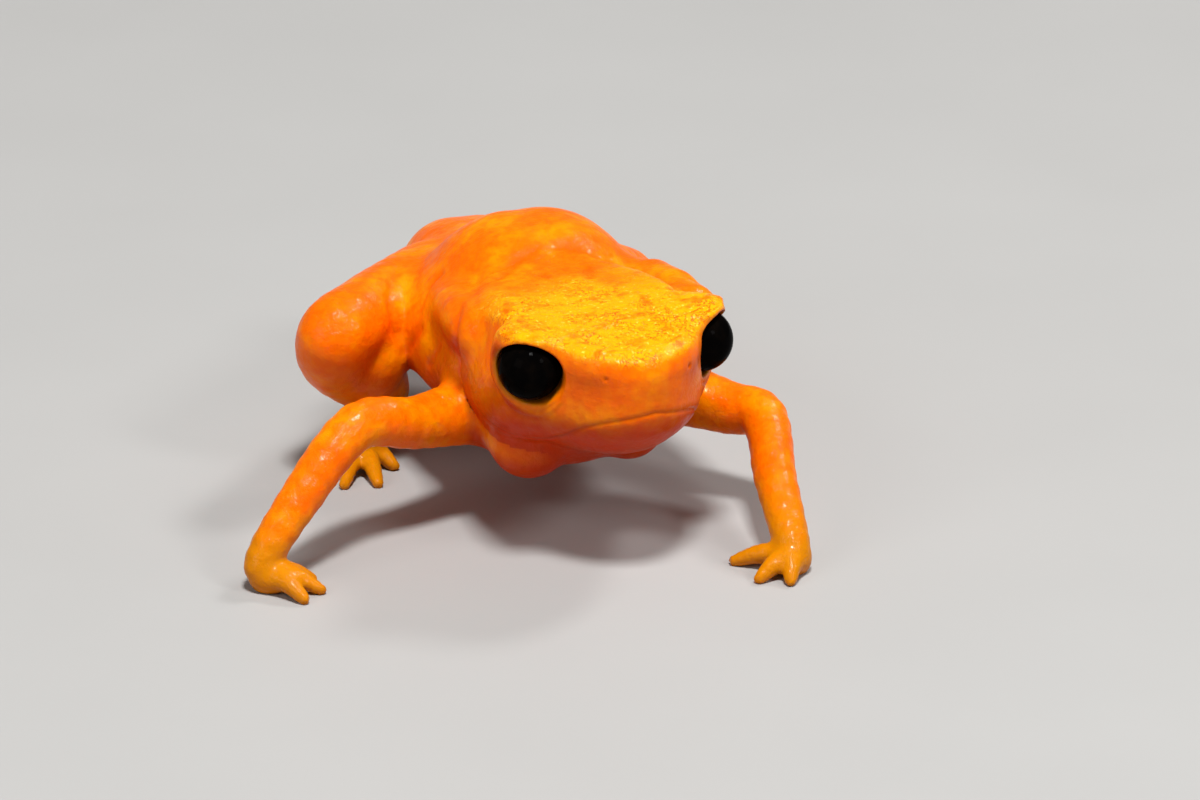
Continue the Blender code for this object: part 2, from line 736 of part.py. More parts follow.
def main():
    for item in list(bpy.data.objects):
        bpy.data.objects.remove(item)
    animal = bpy.data.collections.new("pumpkin_toadlet")
    cutters = bpy.data.collections.new("cutters")
    for collection in (animal, cutters):
        bpy.context.scene.collection.children.link(collection)
    flesh = make_flesh(animal)
    subtract(flesh, ground(cutters))
    for side in SIDES:
        subtract(flesh, eye_room(side, cutters))
        subtract(flesh, socket(side, cutters))
        subtract(flesh, nostril(side, cutters))
    subtract(flesh, mouth_groove(cutters))
    for cut in body_cuts(cutters):
        subtract(flesh, cut, "MANIFOLD")
    pieces = part(flesh, body_seeds(), animal)
    nodes = [pieces["head"], pieces["torso"]]
    for side in SIDES:
        for name, cuts, seeds in (("arm", arm_cuts, arm_seeds), ("leg", leg_cuts, leg_seeds)):
            limb = pieces[f"{name}_{side}"]
            for cut in cuts(side, cutters):
                subtract(limb, cut, "MANIFOLD")
            nodes.extend(part(limb, seeds(side), animal).values())
    eyes = [make_eye(side, animal) for side in SIDES]
    finish(nodes, eyes)


main()
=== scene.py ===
"""Looks of the pumpkin toadlet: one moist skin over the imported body, and two wholly black eyes.

The skin follows the same overlapping forms as the solids, finer, with lids, mouth, nostrils,
folds and grain. Lengths are millimetres in the animal's own frame (+X its left, -Y the way it
faces) until a piece is done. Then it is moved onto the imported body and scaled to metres.
"""
import itertools
import math

import bmesh
import bpy
import numpy as np
from mathutils import Matrix, Vector


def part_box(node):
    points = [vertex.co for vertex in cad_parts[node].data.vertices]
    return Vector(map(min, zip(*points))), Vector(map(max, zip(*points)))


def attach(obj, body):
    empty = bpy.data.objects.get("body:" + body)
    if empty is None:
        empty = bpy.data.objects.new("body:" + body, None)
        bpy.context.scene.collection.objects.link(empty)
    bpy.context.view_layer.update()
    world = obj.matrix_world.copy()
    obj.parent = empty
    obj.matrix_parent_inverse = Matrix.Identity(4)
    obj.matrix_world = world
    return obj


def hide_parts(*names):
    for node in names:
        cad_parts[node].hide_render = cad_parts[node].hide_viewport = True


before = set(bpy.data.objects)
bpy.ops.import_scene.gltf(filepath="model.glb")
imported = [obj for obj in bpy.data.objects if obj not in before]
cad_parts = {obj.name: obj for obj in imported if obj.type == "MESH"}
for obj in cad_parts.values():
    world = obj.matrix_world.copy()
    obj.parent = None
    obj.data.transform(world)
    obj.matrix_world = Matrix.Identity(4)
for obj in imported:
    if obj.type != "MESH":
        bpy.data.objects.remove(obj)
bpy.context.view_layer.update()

METRES_PER_MM = 0.001
FAR = 9.0
TINY = 1e-9

# Skin surface: voxel edges of the rough and fine remesh, and how points are drawn onto the forms.
ROUGH_VOXEL = 0.13
VOXEL = 0.075
SAMPLE_STEP = 0.01
BODY_PASSES = 4
HEAD_PASSES = 3
CULL_MARGIN = 0.8
CLOSE = 0.002

# Shells round the head: where the faces are made finer, and where its own markings may lie.
HEAD_SHELL = 0.12
FINE_SHELL = 0.3

# Faces round and up each ellipsoid, limb and eye, and round a socket and the floor.
BALL_FACES = (32, 20)
LIMB_FACES = (16, 10)
EYE_FACES = (96, 64)
SOCKET_FACES = 64
FLOOR_FACES = 64

# Widths over which the forms run into one another.
NECK_BLEND = 0.55
LIMB_ROOT_BLEND = 0.45
JOINT_BLEND = 0.25
STEP_BLEND = 0.06
CHEST_BLEND = 0.5
RIDGE_BLEND = 0.5
JAW_BLEND = 0.4
CHEEK_BLEND = 0.5
LID_BLEND = 0.4
LID_EDGE = 0.1
CROWN_EDGE = 0.2

# Head frame: its origin lies midway between the eyes.
HEAD_ORIGIN = (-0.11, 2.6, 5.6)
HEAD_YAW = 4.2
EYE_SIDE = 2.48
EYE_HEIGHT = 0.04
EYE_RADIUS = 0.85
CROWN_HEIGHT = 0.93
CROWN_DISH = 0.03
CROWN_SLOPE = 0.07
CROWN_FALL = 0.02
CROWN_FALL_START = 1.0

# Opening of the lids: its direction, where it starts along that, and the droop toward the nose.
OPENING_ANGLE = 55.0
OPENING_LIFT = 0.0
LID_START = -0.08
LID_DROOP = 0.36
LID_DROOP_ANGLE = 62.0
LID_DROOP_SPREAD = 45.0
LID_LENGTH = 0.1
LID_COVER = 0.25
SOCKET_GAP = 0.015
SOCKET_FLARE = 0.3
BROW_SNUGNESS = 0.25
BROW_ANGLE = 110.0
BROW_SPREAD = 45.0
SOCKET_DEPTH = 2.4
SOCKET_EDGE = 0.05

# Line of the mouth: height below the eyes at each bearing from straight ahead, in degrees.
MOUTH_BEARINGS = (0, 30, 50, 65, 90, 108, 120, 130, 137)
MOUTH_HEIGHTS = (-0.72, -1.0, -1.3, -1.65, -2.05, -2.2, -2.1, -1.8, -1.45)
# Rim of the crown, above the lids and round the snout, likewise.
RIM_BEARINGS = (0, 30, 50, 66, 77, 94, 105)
RIM_HEIGHTS = (0.8, 0.82, 0.88, 0.93, 0.96, 1.0, 1.0)
NOSTRIL_BEARING = 31.0
NOSTRIL_HEIGHT = 0.22
HEAD_LINE_STEPS = 5
SURFACE_SEARCH = 4.5
SURFACE_HALVINGS = 30

# Folds of the skin on neck, shoulder, flank and thigh, as lines on the left side.
CREASES = [
    ((2.73, 6.79, 6.15), (2.35, 6.92, 6.28), (1.9, 7.15, 6.34), (1.34, 7.69, 6.33), (0.92, 8.01, 6.45)),
    ((3.04, 6.58, 6.09), (3.47, 5.73, 5.89), (3.58, 5.58, 5.25), (3.34, 6.07, 4.26), (3.33, 5.6, 3.77)),
    ((2.43, 9.67, 5.82), (2.78, 9.68, 5.42), (3.11, 9.46, 5.05), (3.39, 9.25, 4.65)),
    ((3.4, 8.71, 4.61), (3.54, 9.15, 4.06), (3.54, 9.86, 3.33)),
    ((3.33, 7.4, 4.68), (3.46, 7.72, 4.12), (3.49, 8.21, 3.53)),
    ((3.01, 12.06, 5.21), (3.54, 10.92, 5.16), (3.9, 10.11, 4.92), (3.99, 9.69, 4.36),
     (3.76, 9.88, 3.67)),
    ((0.65, 7.22, 6.38), (0.52, 6.48, 6.43), (0.32, 5.91, 6.46)),
    ((0.11, 8.39, 6.7), (0.72, 8.1, 6.55), (1.37, 7.91, 6.3), (1.91, 7.98, 6.03)),
]
CREASE_WIDTH = 0.16
CREASE_END = 0.15

# Masks. Each pair of levels is where a smooth step starts and where it is complete, and each
# NOISE is the strength and lump size of the noise that makes its edge ragged.
CROWN_TILT = (0.15, 0.75)
CROWN_TILT_NOISE = (0.15, 0.35)
CROWN_LEVEL = (0.35, 0.75)
CROWN_END = (1.6, 4.4)
CROWN_END_NOISE = (0.8, 0.8)
LID_REACH = (EYE_RADIUS + 0.05, EYE_RADIUS + 0.22)
MOUTH_WIDTH = 0.05
MOUTH_FADE = (0.85, 1.0)
LIP_REACH = 0.16
LIP_WIDTH = 0.1
NOSTRIL_WIDTH = 0.055
RIM_WIDTH = 0.1
RIM_FADE = (0.8, 1.0)
# The lower face and the skin that faces down take a deep red of painted shade.
LOWER_FACE_SHADE = (-0.3, -2.2)
LOWER_FACE_NOISE = (0.25, 0.9)
UNDER_TILT = (0.25, -0.55)
UNDER_NOISE = (0.12, 0.7)
UNDER_ON_LIMBS = 0.25
CORE_EDGE = (0.5, 0.1)
AMBER_LEVEL = (2.3, 0.8)
AMBER_NOISE = (0.25, 0.5)

# Folds below the eye: reach from its centre, width and strength. Then the angles of their ends.
EYE_FOLDS = ((1.16, 0.05, 1.0), (1.36, 0.06, 0.8))
EYE_FOLD_NOSE_END = (20.0, -30.0)
EYE_FOLD_REAR_END = (-175.0, -120.0)

# Relief: height and size of the skin's lumps, and height of each marking where its mask is 1.
SKIN_LUMPS = ((0.018, 1.0), (0.006, 0.35))
CROWN_LUMPS = (0.012, 0.14)
CROWN_EVENNESS = 0.7
RELIEF = {"mouth": -0.035, "lips": 0.01, "nostril": -0.07, "folds": -0.025, "rim": 0.05, "crease": -0.07}
SPINE_DEPTH = 0.07
SPINE_SIDE = 0.1
SPINE_WIDTH = 0.5
SPINE_START = (5.5, 8.0)

# Whole numbers that scatter the corners of space into fixed random values.
LATTICE_KEYS = (374761393, 668265263, 1442695041)
LATTICE_FACTOR = 1274126177
LATTICE_SHIFTS = (13, 16)
LATTICE_RANGE = 65535

# Limb joints, and the radius of the flesh at each.
CURVE_STEPS = 4
ARM_JOINTS = {
    "right": ((-2.9, 6.4, 2.95), (-4.7, 5.7, 3.12), (-6.52, 5.05, 3.52),
              (-8.25, 4.2, 2.25), (-9.68, 3.45, 0.8)),
    "left": ((2.8, 6.3, 2.8), (4.0, 4.95, 2.64), (4.6, 3.9, 2.64),
             (4.12, 1.8, 1.8), (3.86, -0.1, 0.75)),
}
ARM_RADII = (0.9, 0.7, 0.62, 0.56, 0.47)
PALMS = {"right": (-9.6, 3.3, 0.32), "left": (3.85, -0.3, 0.32)}
FINGER_TIPS = {
    "right": ((-8.4, 3.3), (-8.4, 2.5), (-9.0, 2.05)),
    "left": ((2.5, 0.6), (2.7, -0.75), (3.4, -1.2)),
}
LEG_JOINTS = {
    "right": ((-1.9, 13.2, 3.75), (-3.9, 11.3, 4.12), (-5.45, 9.85, 4.25), (-5.35, 10.3, 3.4),
              (-4.15, 11.15, 2.3), (-3.5, 11.95, 1.25), (-4.3, 11.25, 0.45)),
    "left": ((1.9, 13.4, 3.7), (3.6, 15.2, 2.8), (5.1, 16.5, 1.9), (5.15, 17.3, 1.6),
             (4.8, 18.8, 1.3), (4.3, 20.4, 0.8), (5.3, 21.7, 0.4)),
}
LEG_RADII = (1.35, 1.15, 1.05, 1.05, 0.98, 0.6, 0.42)
SOLES = {"right": (-4.5, 11.0, 0.32), "left": (5.6, 22.0, 0.32)}
TOE_TIPS = {
    "right": ((-5.6, 9.1), (-4.7, 8.9), (-3.9, 9.9)),
    "left": ((7.7, 22.0), (7.3, 23.1), (6.1, 23.4)),
}
DIGIT_RADII = (0.34, 0.26, 0.15)
DIGIT_ARCH = 0.4
DIGIT_TIP_HEIGHT = 0.12
SIDES = ("right", "left")

# Camera: where it looks, in the animal's frame, and from how far and which way.
CAMERA_TARGET = (-0.638, 2.390, 4.472)
CAMERA_AZIMUTH = -20.0
CAMERA_ELEVATION = 22.0
CAMERA_DISTANCE = 190.0
CAMERA_LENS = 216.0
SENSOR_WIDTH = 36.0
CAMERA_CLIP = (0.001, 10.0)

# Soft boxes: bearing and height in degrees, side in metres and power in watts. All stand at the
# same distance, in metres.
LIGHT_DISTANCE = 0.3
LIGHTS = {
    "key": (-12, 72, 0.05, 1.0),
    "rim": (115, 48, 0.05, 0.28),
    "right_fill": (-70, 30, 0.15, 0.2),
    "left_fill": (35, 38, 0.06, 0.2),
}
FLOOR_RADIUS = 1.5
STUDIO_COLOUR = (1.0, 0.96, 0.9, 1)
STUDIO_STRENGTH = 0.12

HEAD_FRAME = Matrix.Translation(HEAD_ORIGIN) @ Matrix.Rotation(math.radians(HEAD_YAW), 4, "Z")
MIRROR = Matrix.Diagonal((-1, 1, 1, 1))


def to_head(points):
    turn = np.array(HEAD_FRAME.to_3x3())
    return (points - np.array(HEAD_ORIGIN)) @ turn


def from_head(local):
    return local @ np.array(HEAD_FRAME.to_3x3()).T + np.array(HEAD_ORIGIN)


def head_place(side):
    return HEAD_FRAME @ MIRROR if side == "right" else HEAD_FRAME


def smooth_step(low, high, value):
    share = np.clip((value - low) / (high - low), 0, 1)
    return share * share * (3 - 2 * share)


def hump(value, width):
    """1 at zero, falling off smoothly over the given width on both sides."""
    return np.exp(-(value / width) ** 2)


def curve(knots, steps):
    """A smooth line through rows of knots, with the given number of steps between each two."""
    knots = np.array(knots, float)
    ends = np.vstack((2 * knots[0] - knots[1], knots, 2 * knots[-1] - knots[-2]))
    line = []
    for before, start, stop, after in zip(ends, ends[1:], ends[2:], ends[3:]):
        for share in np.linspace(0, 1, steps, endpoint=False):
            square = 2 * before - 5 * start + 4 * stop - after
            cube = 3 * start - before - 3 * stop + after
            line.append(start + ((stop - before) * share + square * share ** 2 + cube * share ** 3) / 2)
    return np.array(line + [knots[-1]])


def blend(a, b, width):
    """Union of two distances whose inner corner is rounded over the given width."""
    share = np.clip(0.5 + 0.5 * (b - a) / width, 0, 1)
    return b + (a - b) * share - width * share * (1 - share)


def trim(a, b, width):
    """Intersection of two distances whose outer edge is rounded over the given width."""
    return -blend(-a, -b, width)


def add_piece(mesh, make, matrix, **sizes):
    """Adds one closed primitive to a mesh, made apart because that stays quick as the mesh grows."""
    bm = bmesh.new()
    make(bm, matrix=matrix, **sizes)
    bmesh.ops.recalc_face_normals(bm, faces=bm.faces)
    piece = bpy.data.meshes.new("piece")
    bm.to_mesh(piece)
    bm.free()
    mesh.from_mesh(piece)
    bpy.data.meshes.remove(piece)


class Ball:
    """An ellipsoid, made boxier in plan or upright by powers above 2."""

    def __init__(self, centre, radii, plan=2.0, upright=2.0):
        self.centre = np.array(centre, float)
        self.radii = np.array(radii, float)
        self.plan = plan
        self.upright = upright

    def box(self):
        return self.centre - self.radii, self.centre + self.radii

    def distance(self, points):
        x, y, z = np.maximum(np.abs(points - self.centre) / self.radii, TINY).T
        across = x ** self.plan + y ** self.plan
        level = (across ** (self.upright / self.plan) + z ** self.upright) ** (1 / self.upright)
        steep = level ** (1 - self.upright)
        level_steep = steep * across ** (self.upright / self.plan - 1)
        slopes = (level_steep * x ** (self.plan - 1), level_steep * y ** (self.plan - 1),
                  steep * z ** (self.upright - 1))
        return (level - 1) / np.linalg.norm(np.array(slopes).T / self.radii, axis=1)

    def add_to(self, mesh, place):
        size = Matrix.Diagonal((*self.radii, 1))
        matrix = place @ Matrix.Translation(self.centre) @ size
        add_piece(mesh, bmesh.ops.create_uvsphere, matrix, u_segments=BALL_FACES[0],
                  v_segments=BALL_FACES[1], radius=1)


class Limb:
    """A round limb along a smooth curve through its joints, with a radius at each."""

    def __init__(self, joints, radii, steps=CURVE_STEPS):
        self.line = curve(np.column_stack((joints, radii)), steps)

    def box(self):
        room = self.line[:, 3:]
        return (self.line[:, :3] - room).min(axis=0), (self.line[:, :3] + room).max(axis=0)

    def distance(self, points):
        distance = np.full(len(points), FAR)
        for start, stop in zip(self.line, self.line[1:]):
            along = stop[:3] - start[:3]
            room = max(start[3], stop[3])
            low = np.minimum(start, stop)[:3] - room
            high = np.maximum(start, stop)[:3] + room

            def length(inside):
                share = np.clip((inside - start[:3]) @ along / (along @ along), 0, 1)
                radius = start[3] + (stop[3] - start[3]) * share
                return np.linalg.norm(inside - start[:3] - share[:, None] * along, axis=1) - radius
            distance = blend(distance, near(points, low, high, length), STEP_BLEND)
        return distance

    def add_to(self, mesh, place):
        for x, y, z, radius in self.line:
            matrix = place @ Matrix.Translation((x, y, z))
            add_piece(mesh, bmesh.ops.create_uvsphere, matrix, u_segments=LIMB_FACES[0],
                      v_segments=LIMB_FACES[1], radius=radius)
        for start, stop in zip(self.line, self.line[1:]):
            along = Vector(stop[:3] - start[:3])
            turn = along.to_track_quat("Z", "Y").to_matrix().to_4x4()
            middle = place @ Matrix.Translation((start[:3] + stop[:3]) / 2) @ turn
            add_piece(mesh, bmesh.ops.create_cone, middle, cap_ends=True, segments=LIMB_FACES[0],
                      radius1=start[3], radius2=stop[3], depth=along.length)


# Torso forms, each with the width over which it runs into those before it.
TRUNK = Ball((0, 9.2, 3.85), (3.55, 4.9, 2.15), 2.3, 2.3)
TORSO_FORMS = [
    (Ball((0, 6.1, 4.05), (3.25, 2.7, 2.1), 2.3, 2.3), 0.8),
    (Ball((0.12, 9.8, 4.95), (2.62, 2.6, 2.0), 2.3, 2.2), 0.7),
    (Ball((0, 13.4, 3.6), (2.25, 3.6, 1.75)), 0.8),
    (Limb(((-1.85, 4.6, 2.75), (-1.6, 6.6, 2.85)), (1.12, 1.2), 1), CHEST_BLEND),
    (Limb(((0.95, 4.6, 2.85), (1.1, 6.6, 2.85)), (1.05, 1.2), 1), CHEST_BLEND),
    (Limb(((-0.45, 4.7, 2.8), (-0.3, 6.6, 2.8)), (0.95, 1.1), 1), CHEST_BLEND),
    (Limb(((-2.9, 5.7, 5.45), (-2.75, 7.8, 5.3), (-1.9, 10.6, 4.5)), (0.72, 0.68, 0.5), 2), RIDGE_BLEND),
    (Limb(((3.0, 5.3, 5.45), (2.85, 7.8, 5.3), (1.9, 10.6, 4.5)), (0.74, 0.7, 0.5), 2), RIDGE_BLEND),
]

# Head forms in the head frame. Those of the second list are doubled by the mirror.
EYE = np.array((EYE_SIDE, 0, EYE_HEIGHT))
SKULL = Ball((0, 1.8, -0.35), (2.78, 4.3, 1.75), 1.85, 3.2)
MIDDLE_FORMS = [
    (Ball((0, 1.5, -1.15), (2.62, 3.75, 1.7), 1.8, 2.0), JAW_BLEND),
    (Ball((0, 2.3, -2.05), (1.9, 2.4, 1.1)), JAW_BLEND),
]
SIDE_FORMS = [
    (Ball((2.05, 1.8, -1.15), (1.1, 1.9, 1.35)), CHEEK_BLEND),
    (Ball(EYE + (-0.07, 0.3, 0.66), (0.82, 0.95, 0.5)), LID_BLEND),
    (Limb(((1.7, -0.6, 0.5), (1.0, -1.5, 0.4), (0, -1.8, 0.35)), (0.4, 0.4, 0.4)), LID_BLEND),
]
LID = Ball(EYE, [EYE_RADIUS + LID_COVER] * 3)
HEAD_LOW = np.array(HEAD_ORIGIN) + (-3.6, -2.8, -3.4)
HEAD_HIGH = np.array(HEAD_ORIGIN) + (3.6, 6.2, 1.6)

# Flesh of the folded right leg, between thigh and shank.
CALF = Ball((-4.35, 10.85, 3.25), (1.1, 1.45, 1.3))


def digits(root, tips):
    """Pointed digits that arch from their common root down to the floor."""
    made = []
    for tip in tips:
        middle = ((root[0] + tip[0]) / 2, (root[1] + tip[1]) / 2, DIGIT_ARCH)
        made.append(Limb((root, middle, (*tip, DIGIT_TIP_HEIGHT)), DIGIT_RADII))
    return made


def arm(side):
    joints = (*ARM_JOINTS[side], PALMS[side])
    return [Limb(joints, (*ARM_RADII, DIGIT_RADII[0]))] + digits(PALMS[side], FINGER_TIPS[side])


def leg(side):
    joints = (*LEG_JOINTS[side], SOLES[side])
    return [Limb(joints, (*LEG_RADII, DIGIT_RADII[0]))] + digits(SOLES[side], TOE_TIPS[side])


LIMBS = [arm("right"), leg("right") + [CALF], arm("left"), leg("left")]


def near(points, low, high, distance):
    """The distance of points inside the box, with the cull margin. All others are simply far."""
    value = np.full(len(points), FAR)
    inside = np.all((points > low - CULL_MARGIN) & (points < high + CULL_MARGIN), axis=1)
    if inside.any():
        value[inside] = distance(points[inside])
    return value


def merge(points, first, others):
    """One distance to many forms, each run into those before it over its own width."""
    distance = first.distance(points)
    for form, width in others:
        distance = blend(distance, form.distance(points), width)
    return distance


def opening_axes():
    """The left eye opening's direction, the way across it to the nose, and the way up."""
    turn = math.radians(OPENING_ANGLE)
    out = Vector((math.cos(turn), -math.sin(turn), OPENING_LIFT)).normalized()
    nose = out.cross(Vector((0, 0, 1))).normalized()
    return np.array(out), np.array(nose), np.array(nose.cross(out))


OPENING, TO_NOSE, TO_BROW = opening_axes()


def opening_place(folded):
    """How far ahead of the eye's centre each point is, its reach from that axis, and its angle."""
    offset = folded - EYE
    nose = offset @ TO_NOSE
    brow = offset @ TO_BROW
    return offset @ OPENING, np.hypot(nose, brow), np.degrees(np.arctan2(brow, nose))


def lid_start(angle):
    """How far ahead the lid's inner edge lies at each angle from the nose, upward."""
    return LID_START + LID_DROOP * hump(angle - LID_DROOP_ANGLE, LID_DROOP_SPREAD)


def lid_rim(angle):
    """The reach of that edge from the opening's axis."""
    return np.sqrt((EYE_RADIUS + SOCKET_GAP) ** 2 - lid_start(angle) ** 2)


def socket_flare(angle):
    """How fast the socket widens outward at each angle: least under the brow."""
    return SOCKET_FLARE - BROW_SNUGNESS * hump(angle - BROW_ANGLE, BROW_SPREAD)


def fold(local):
    """Both halves of the head laid on its left one."""
    return np.abs(local) * (1, 0, 0) + local * (0, 1, 1)


def head_distance(points):
    local = fold(to_head(points))
    distance = merge(local, SKULL, MIDDLE_FORMS + SIDE_FORMS)
    ahead, _, angle = opening_place(local)
    beyond = ahead - lid_start(angle) - LID_LENGTH
    distance = blend(distance, trim(LID.distance(local), beyond, LID_EDGE), LID_BLEND)
    x, y, z = local.T
    fall = CROWN_FALL * np.maximum(y - CROWN_FALL_START, 0) ** 2 + CROWN_SLOPE * np.maximum(-y, 0)
    return trim(distance, z - CROWN_HEIGHT - CROWN_DISH * x ** 2 + fall, CROWN_EDGE)


def socket_distance(points):
    """Distance to the rooms of both eyes: a snug ball, and a mouth that widens outward."""
    local = fold(to_head(points))
    ahead, reach, angle = opening_place(local)
    room = np.linalg.norm(local - EYE, axis=1) - EYE_RADIUS - SOCKET_GAP
    past = ahead - lid_start(angle)
    mouth = trim(reach - lid_rim(angle) - socket_flare(angle) * past, -past, SOCKET_EDGE)
    return blend(room, mouth, SOCKET_EDGE)


def torso_distance(points):
    return merge(points, TRUNK, TORSO_FORMS)


def limb_distance(limb, points):
    boxes = [form.box() for form in limb]
    low = np.min([box[0] for box in boxes], axis=0)
    high = np.max([box[1] for box in boxes], axis=0)

    def all_forms(inside):
        distance = np.full(len(inside), FAR)
        for form, box in zip(limb, boxes):
            distance = blend(distance, near(inside, *box, form.distance), JOINT_BLEND)
        return distance
    return near(points, low, high, all_forms)


def body_distance(points):
    torso = torso_distance(points)
    head = near(points, HEAD_LOW, HEAD_HIGH, head_distance)
    distance = blend(torso, head, NECK_BLEND)
    for limb in LIMBS:
        length = limb_distance(limb, points)
        distance = np.minimum(distance, blend(torso, length, LIMB_ROOT_BLEND))
    sockets = near(points, HEAD_LOW, HEAD_HIGH, socket_distance)
    return trim(distance, -sockets, SOCKET_EDGE)


def settle(points, passes):
    """Draws points onto the finished surface along its slope, until each is close to it."""
    points = points.copy()
    axes = SAMPLE_STEP * np.eye(3)
    loose = np.arange(len(points))
    for _ in range(passes):
        value = body_distance(points[loose])
        far = np.abs(value) > CLOSE
        loose = loose[far]
        value = value[far]
        slope = np.array([body_distance(points[loose] + axis) - value for axis in axes]).T
        slope /= np.maximum(np.linalg.norm(slope, axis=1, keepdims=True), TINY)
        points[loose] -= value[:, None] * slope
    return points


def object_from(bm, name):
    mesh = bpy.data.meshes.new(name)
    bm.to_mesh(mesh)
    bm.free()
    item = bpy.data.objects.new(name, mesh)
    bpy.context.scene.collection.objects.link(item)
    return item


def apply_modifiers(item):
    graph = bpy.context.evaluated_depsgraph_get()
    mesh = bpy.data.meshes.new_from_object(item.evaluated_get(graph))
    item.modifiers.clear()
    item.data = mesh


def remesh(item, voxel):
    modifier = item.modifiers.new("one_surface", "REMESH")
    modifier.mode = "VOXEL"
    modifier.voxel_size = voxel
    apply_modifiers(item)


def read_corners(item, field="co"):
    values = np.empty(len(item.data.vertices) * 3)
    item.data.vertices.foreach_get(field, values)
    return values.reshape(-1, 3)


def move_corners(item, points):
    item.data.vertices.foreach_set("co", points.ravel())
    item.data.update()


def rough_flesh():
    """All forms as overlapping closed pieces of one mesh."""
    bm = bmesh.new()
    body = Matrix.Identity(4)
    for form in [TRUNK] + [form for form, _ in TORSO_FORMS] + [form for limb in LIMBS for form in limb]:
        form.add_to(bm, body)
    for form in [SKULL, LID] + [form for form, _ in MIDDLE_FORMS + SIDE_FORMS]:
        form.add_to(bm, HEAD_FRAME)
        form.add_to(bm, HEAD_FRAME @ MIRROR)
    return object_from(bm, "skin")


def cut_sockets(skin):
    """Opens the lids with a widening cone before each eye, whose inner ring follows the lid's edge."""
    for side in SIDES:
        bm = bmesh.new()
        bmesh.ops.create_cone(bm, cap_ends=True, cap_tris=True, segments=SOCKET_FACES,
                              radius1=1, radius2=1, depth=2)
        for corner in bm.verts:
            angle = math.degrees(math.atan2(corner.co.y, corner.co.x))
            past = SOCKET_DEPTH if corner.co.z > 0 else 0
            on_ring = corner.co.xy.length > 0.5
            ahead = lid_start(angle) if on_ring else LID_START
            reach = corner.co.xy.length * (lid_rim(angle) + socket_flare(angle) * past)
            turn = math.radians(angle)
            across = TO_NOSE * math.cos(turn) + TO_BROW * math.sin(turn)
            corner.co = head_place(side) @ Vector(EYE + OPENING * (ahead + past) + across * reach)
        bmesh.ops.recalc_face_normals(bm, faces=bm.faces)
        cutter = object_from(bm, "socket")
        cut = skin.modifiers.new("socket", "BOOLEAN")
        cut.operation = "DIFFERENCE"
        cut.object = cutter
        apply_modifiers(skin)
        bpy.data.objects.remove(cutter)


def split_faces(skin, chosen):
    """Halves each edge between chosen corners, which splits the faces among them in four."""
    bm = bmesh.new()
    bm.from_mesh(skin.data)
    edges = [edge for edge in bm.edges if all(chosen[corner.index] for corner in edge.verts)]
    bmesh.ops.subdivide_edges(bm, edges=edges, cuts=1, use_grid_fill=True)
    bm.to_mesh(skin.data)
    bm.free()


def refine_head(skin):
    """Makes the head's faces finer and draws their corners onto the surface."""
    points = read_corners(skin)
    split_faces(skin, near(points, HEAD_LOW, HEAD_HIGH, head_distance) < HEAD_SHELL)
    points = read_corners(skin)
    head = near(points, HEAD_LOW, HEAD_HIGH, head_distance) < FINE_SHELL
    points[head] = settle(points[head], HEAD_PASSES)
    move_corners(skin, points)


def on_head(bearings, heights):
    """Points of the head's surface, in its frame, at bearings from straight ahead and heights."""
    turn = np.radians(bearings)
    way = np.column_stack((np.sin(turn), -np.cos(turn), 0 * turn))
    up = np.column_stack((0 * turn, 0 * turn, heights))
    low = np.zeros(len(turn))
    high = np.full(len(turn), SURFACE_SEARCH)
    for _ in range(SURFACE_HALVINGS):
        middle = (low + high) / 2
        local = up + way * middle[:, None]
        inside = head_distance(from_head(local)) < 0
        low = np.where(inside, middle, low)
        high = np.where(inside, high, middle)
    return up + way * low[:, None]


def line_distance(points, line):
    """Distance to a line of points, and the share of the way along it."""
    best = np.full(len(points), FAR)
    along = np.zeros(len(points))
    for i, (start, stop) in enumerate(zip(line, line[1:])):
        step = stop - start
        share = np.clip((points - start) @ step / (step @ step), 0, 1)
        distance = np.linalg.norm(points - start - share[:, None] * step, axis=1)
        along = np.where(distance < best, (i + share) / (len(line) - 1), along)
        best = np.minimum(best, distance)
    return best, along


def lattice(corner):
    """A fixed random value from -1 to 1 at each whole-number corner of space."""
    first, second = LATTICE_SHIFTS
    key = corner @ np.array(LATTICE_KEYS)
    key = (key ^ (key >> first)) * LATTICE_FACTOR
    return ((key ^ (key >> second)) & LATTICE_RANGE) / (LATTICE_RANGE / 2) - 1


def lumps(points, size):
    """Smooth noise from -1 to 1 whose lumps are about as wide as the given size."""
    cell = points / size
    corner = np.floor(cell).astype(np.int64)
    share = cell - corner
    share = share * share * (3 - 2 * share)
    total = np.zeros(len(points))
    for offset in itertools.product((0, 1), repeat=3):
        weight = np.prod(np.where(offset, share, 1 - share), axis=1)
        total += weight * lattice(corner + np.array(offset))
    return total


def ragged(values, points, strength, size):
    """The values with smooth noise added, so that their levels run unevenly."""
    return values + strength * lumps(points, size)


def crease_lines():
    """The folds of the skin, drawn onto the surface of the right side and laid on the left."""
    for line in CREASES:
        yield np.abs(settle(curve(line, CURVE_STEPS) * (-1, 1, 1), BODY_PASSES))


def head_line(bearings, heights):
    """A line across the head's surface."""
    return on_head(*curve(np.column_stack((bearings, heights)), HEAD_LINE_STEPS).T)


def crown_mask(points, normals, folded):
    """The flat golden top of the head, which fades out on the nape."""
    tilt = ragged(normals[:, 2], points, *CROWN_TILT_NOISE)
    crown = smooth_step(*CROWN_TILT, tilt) * smooth_step(*CROWN_LEVEL, folded[:, 2])
    return crown * (1 - smooth_step(*CROWN_END, ragged(folded[:, 1], points, *CROWN_END_NOISE)))


def eye_folds(folded):
    """Thin folds that ring the lower half of the eye."""
    _, _, angle = opening_place(folded)
    reach = np.linalg.norm(folded - EYE, axis=1)
    below = smooth_step(*EYE_FOLD_NOSE_END, angle) * smooth_step(*EYE_FOLD_REAR_END, angle)
    return sum(strength * hump(reach - away, width) for away, width, strength in EYE_FOLDS) * below


